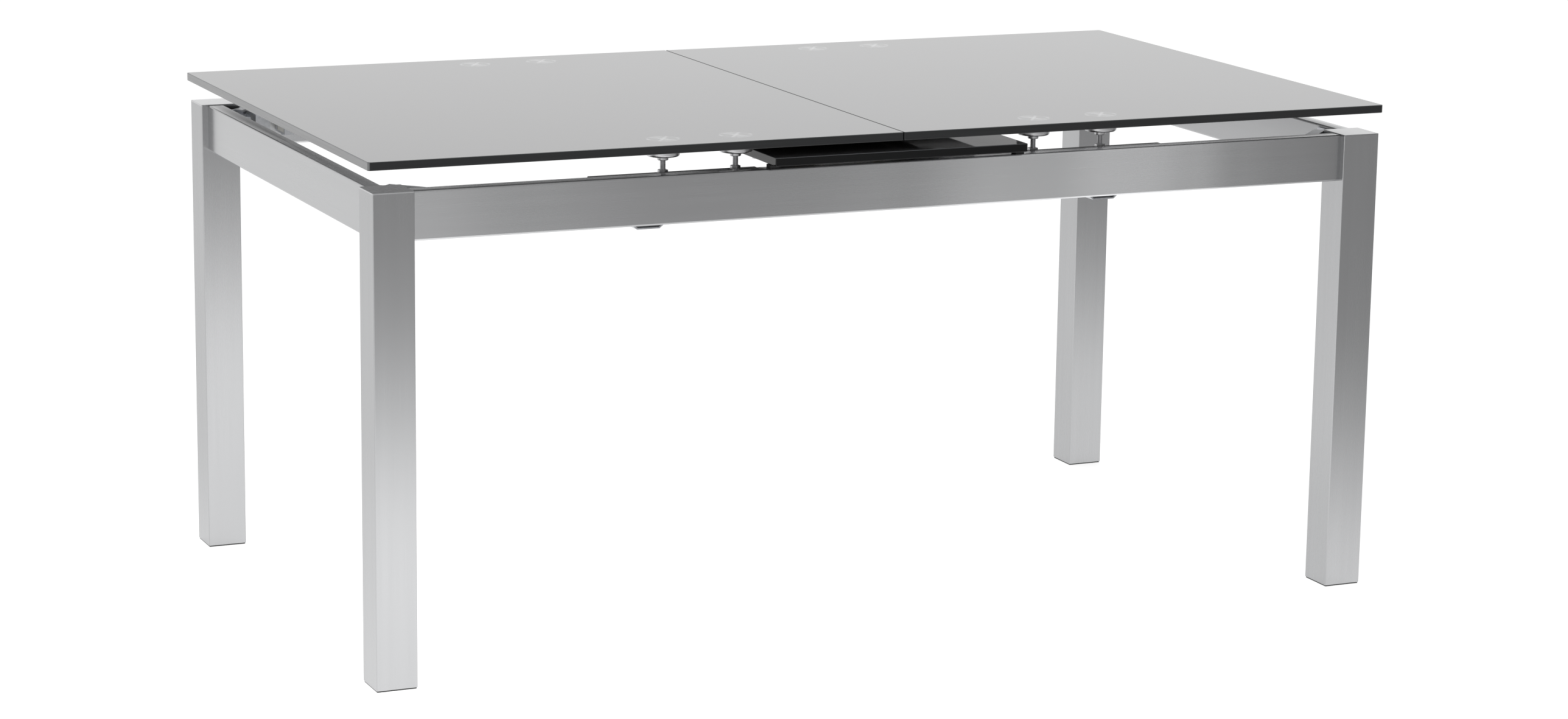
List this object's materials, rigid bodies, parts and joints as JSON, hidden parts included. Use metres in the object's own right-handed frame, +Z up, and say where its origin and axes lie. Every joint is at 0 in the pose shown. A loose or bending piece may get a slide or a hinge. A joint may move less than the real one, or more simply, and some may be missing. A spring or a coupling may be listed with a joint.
{
  "type": "extendable dining table",
  "caption": "Extendable dining table: glass top in two sliding halves on a square steel frame, with a glass leaf stored between them on a lift frame.",
  "frame": {"origin": "centre of the closed table's footprint, on the floor", "axes": "+X along the table's length to the right, -Y to the front, +Z up"},
  "size_m": [1.6, 0.9, 0.745],
  "materials": {
    "brushed_stainless": "brushed along each tube",
    "zinc_plated_steel": "bright zinc plating",
    "polished_stainless": "turned, satin to polished",
    "black_polymer": "matt",
    "black_steel": "black powder coat",
    "black_aluminium": "black anodised",
    "dark_glass": "polished, dark tinted, opaque underside",
    "bronze": "machined",
    "cage_polymer": "moulded"
  },
  "bodies": {
    "frame": {"leg_front_left": "brushed_stainless", "leg_front_right": "brushed_stainless", "leg_back_left": "brushed_stainless", "leg_back_right": "brushed_stainless", "leg_caps": "brushed_stainless", "leg_glides": "black_polymer", "apron_front": "brushed_stainless", "apron_back": "brushed_stainless", "apron_left": "brushed_stainless", "apron_right": "brushed_stainless", "corner_brace_front_left": "zinc_plated_steel", "corner_brace_front_right": "zinc_plated_steel", "corner_brace_back_left": "zinc_plated_steel", "corner_brace_back_right": "zinc_plated_steel", "brace_bolts": "zinc_plated_steel", "hanger_bolts": "zinc_plated_steel", "rail_front": "zinc_plated_steel", "rail_back": "zinc_plated_steel", "rail_screws": "zinc_plated_steel", "rail_end_stops": "cage_polymer", "outriggers_left": "zinc_plated_steel", "outriggers_right": "zinc_plated_steel", "rail_brackets": "zinc_plated_steel", "stretcher_front": "zinc_plated_steel", "stretcher_back": "zinc_plated_steel", "guide_posts": "polished_stainless", "leaf_rest_pads": "black_polymer", "pinion_pins": "polished_stainless"},
    "pinion_front_body": {"pinion_front": "bronze"},
    "pinion_back_body": {"pinion_back": "bronze"},
    "left_half": {"glass_left": "dark_glass", "glass_discs_left": "polished_stainless", "studs_left": "polished_stainless", "jam_nuts_left": "polished_stainless", "carriage_front_left": "black_aluminium", "carriage_back_left": "black_aluminium", "ramp_plates_left": "black_steel", "racks_left": "bronze", "arm_screws_left": "zinc_plated_steel"},
    "right_half": {"glass_right": "dark_glass", "glass_discs_right": "polished_stainless", "studs_right": "polished_stainless", "jam_nuts_right": "polished_stainless", "carriage_front_right": "black_aluminium", "carriage_back_right": "black_aluminium", "ramp_plates_right": "black_steel", "racks_right": "bronze", "arm_screws_right": "zinc_plated_steel"},
    "cages_left_body": {"ball_cages_left": "cage_polymer", "balls_left": "polished_stainless"},
    "cages_right_body": {"ball_cages_right": "cage_polymer", "balls_right": "polished_stainless"},
    "lift_frame": {"lift_bearer_left": "black_steel", "lift_bearer_right": "black_steel", "lift_ties": "black_steel", "guide_bushes": "bronze", "leaf_sleeves": "bronze", "follower_pins": "polished_stainless"},
    "leaf": {"leaf_glass": "dark_glass", "leaf_posts": "polished_stainless"}
  },
  "joints": [
    {"name": "left_top_slide", "type": "slide", "parent": "frame", "child": "left_half", "axis": [-1, 0, 0], "range_m": [0, 0.2]},
    {"name": "right_top_slide", "type": "slide", "parent": "frame", "child": "right_half", "axis": [1, 0, 0], "range_m": [0, 0.2]},
    {"name": "left_cage_slide", "type": "slide", "parent": "frame", "child": "cages_left_body", "axis": [-1, 0, 0], "range_m": [0, 0.1]},
    {"name": "right_cage_slide", "type": "slide", "parent": "frame", "child": "cages_right_body", "axis": [1, 0, 0], "range_m": [0, 0.1]},
    {"name": "front_pinion_spin", "type": "hinge", "parent": "frame", "child": "pinion_front_body", "pos_m": [0, -0.336, 0.664], "axis": [0, 0, -1], "range_deg": [0, 720]},
    {"name": "back_pinion_spin", "type": "hinge", "parent": "frame", "child": "pinion_back_body", "pos_m": [0, 0.336, 0.664], "axis": [0, 0, -1], "range_deg": [0, 720]},
    {"name": "lift_frame_rise", "type": "slide", "parent": "frame", "child": "lift_frame", "axis": [0, 0, 1], "range_m": [0, 0.0145]},
    {"name": "leaf_rise", "type": "slide", "parent": "lift_frame", "child": "leaf", "axis": [0, 0, 1], "range_m": [0, 0.013]}
  ],
  "couplings": [
    {"joint": "right_top_slide", "follows": "left_top_slide", "ratio": 1},
    {"joint": "left_cage_slide", "follows": "left_top_slide", "ratio": 0.5},
    {"joint": "right_cage_slide", "follows": "left_top_slide", "ratio": 0.5},
    {"joint": "front_pinion_spin", "follows": "left_top_slide", "rad_per_m": 62.5},
    {"joint": "back_pinion_spin", "follows": "left_top_slide", "rad_per_m": 62.5},
    {"joint": "lift_frame_rise", "follows": "left_top_slide", "ratio": 0.07}
  ]
}
